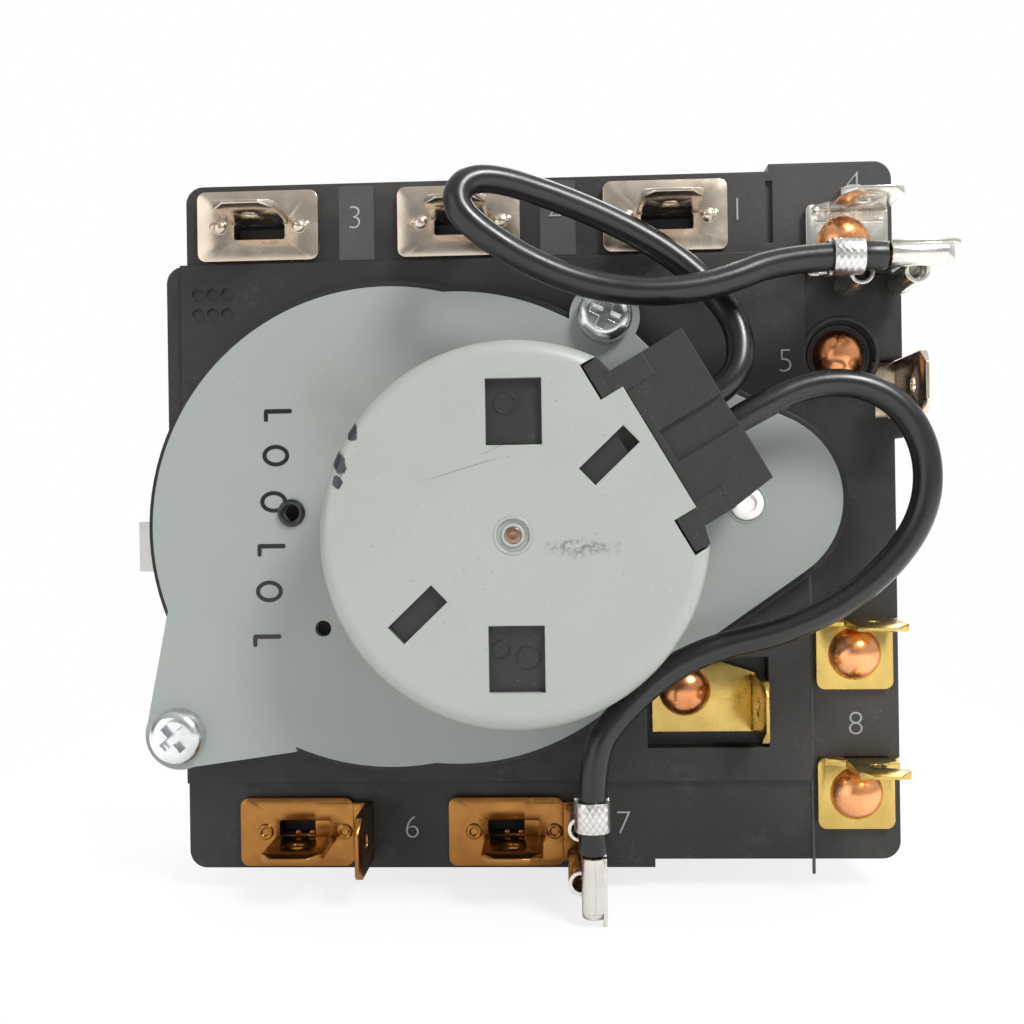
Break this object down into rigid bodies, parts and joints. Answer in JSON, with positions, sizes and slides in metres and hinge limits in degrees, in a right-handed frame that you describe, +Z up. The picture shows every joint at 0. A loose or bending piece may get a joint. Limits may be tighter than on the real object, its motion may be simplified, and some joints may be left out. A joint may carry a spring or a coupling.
{
  "type": "dryer timer",
  "caption": "Clothes dryer programme timer: moulded switch case with cam wheel, geared synchronous motor, flatted knob shaft, tab terminals and motor leads.",
  "frame": {"origin": "shaft axis at the panel face of the steel panel plate", "axes": "+Y along the shaft towards the knob, +Z up, +X to the right seen from the motor side"},
  "size_m": [0.086, 0.0687, 0.0783],
  "materials": {
    "case_black": "matte black moulding",
    "gear_plate_grey": "satin grey-green coating",
    "can_grey": "satin light grey coating, scuffed",
    "zinc_steel": "bright zinc plate",
    "panel_steel": "dull plated sheet",
    "tinned": "bright tin plate",
    "nickel": "warm nickel plate",
    "brass": "dull brass sheet",
    "copper": "bright copper",
    "lead_pvc": "semi-gloss black insulation",
    "nylon": "natural nylon",
    "magnet": "ferrite",
    "winding": "enamelled copper wire under tape"
  },
  "bodies": {
    "case": {"rear_case": "case_black", "gear_plate": "gear_plate_grey", "plate_screws": "zinc_steel", "idler_axle": "zinc_steel", "lobe_axle": "zinc_steel", "transfer_axle": "zinc_steel", "rotor_axle": "zinc_steel", "lobe_bush": "nylon", "motor_can": "can_grey", "connector_block": "case_black", "coil_bobbin": "case_black", "coil_winding": "winding", "pole_plate": "panel_steel", "shaft_bush": "brass", "panel_plate": "panel_steel", "terminal_top_left": "nickel", "terminal_top_middle": "nickel", "terminal_top_right": "nickel", "terminal_bottom_left": "brass", "terminal_bottom_middle": "brass", "terminal_right_upper": "brass", "terminal_right_lower": "brass", "terminal_corner": "tinned", "terminal_side": "nickel", "terminal_inner": "brass", "terminal_rivets": "copper", "moving_blades": "brass", "fixed_blades": "brass", "receptacle_upper": "tinned", "receptacle_lower": "tinned", "lead_upper": "lead_pvc", "lead_lower": "lead_pvc"},
    "rotor": {"rotor_magnet": "magnet", "rotor_pinion": "nylon"},
    "idler": {"idler_gear": "nylon"},
    "lobe": {"lobe_gear": "nylon"},
    "transfer": {"transfer_gear": "nylon"},
    "drive": {"drive_gear": "nylon"},
    "shaft": {"timer_shaft": "zinc_steel", "shaft_clip": "zinc_steel", "cam_wheel": "nylon", "clutch_washer": "zinc_steel"}
  },
  "joints": [
    {"name": "rotor_spin", "type": "hinge", "parent": "case", "child": "rotor", "pos_m": [0.0136, -0.0292, -0.00085], "axis": [0, 1, 0], "continuous": true},
    {"name": "idler_spin", "type": "hinge", "parent": "case", "child": "idler", "pos_m": [0.02616, -0.0292, 0.00436], "axis": [0, 1, 0], "continuous": true},
    {"name": "lobe_spin", "type": "hinge", "parent": "case", "child": "lobe", "pos_m": [0.0375, -0.0292, 0.0019], "axis": [0, 1, 0], "continuous": true},
    {"name": "transfer_spin", "type": "hinge", "parent": "case", "child": "transfer", "pos_m": [0.02694, -0.0292, -0.00379], "axis": [0, 1, 0], "continuous": true},
    {"name": "drive_spin", "type": "hinge", "parent": "case", "child": "drive", "pos_m": [0, -0.0292, 0], "axis": [0, 1, 0], "continuous": true},
    {"name": "shaft_turn", "type": "hinge", "parent": "drive", "child": "shaft", "pos_m": [0, -0.0292, 0], "axis": [0, 1, 0], "continuous": true}
  ],
  "couplings": [
    {"joint": "idler_spin", "follows": "rotor_spin", "ratio": -0.41667},
    {"joint": "lobe_spin", "follows": "rotor_spin", "ratio": 0.33854},
    {"joint": "transfer_spin", "follows": "rotor_spin", "ratio": -0.16927},
    {"joint": "drive_spin", "follows": "rotor_spin", "ratio": 0.029185}
  ]
}
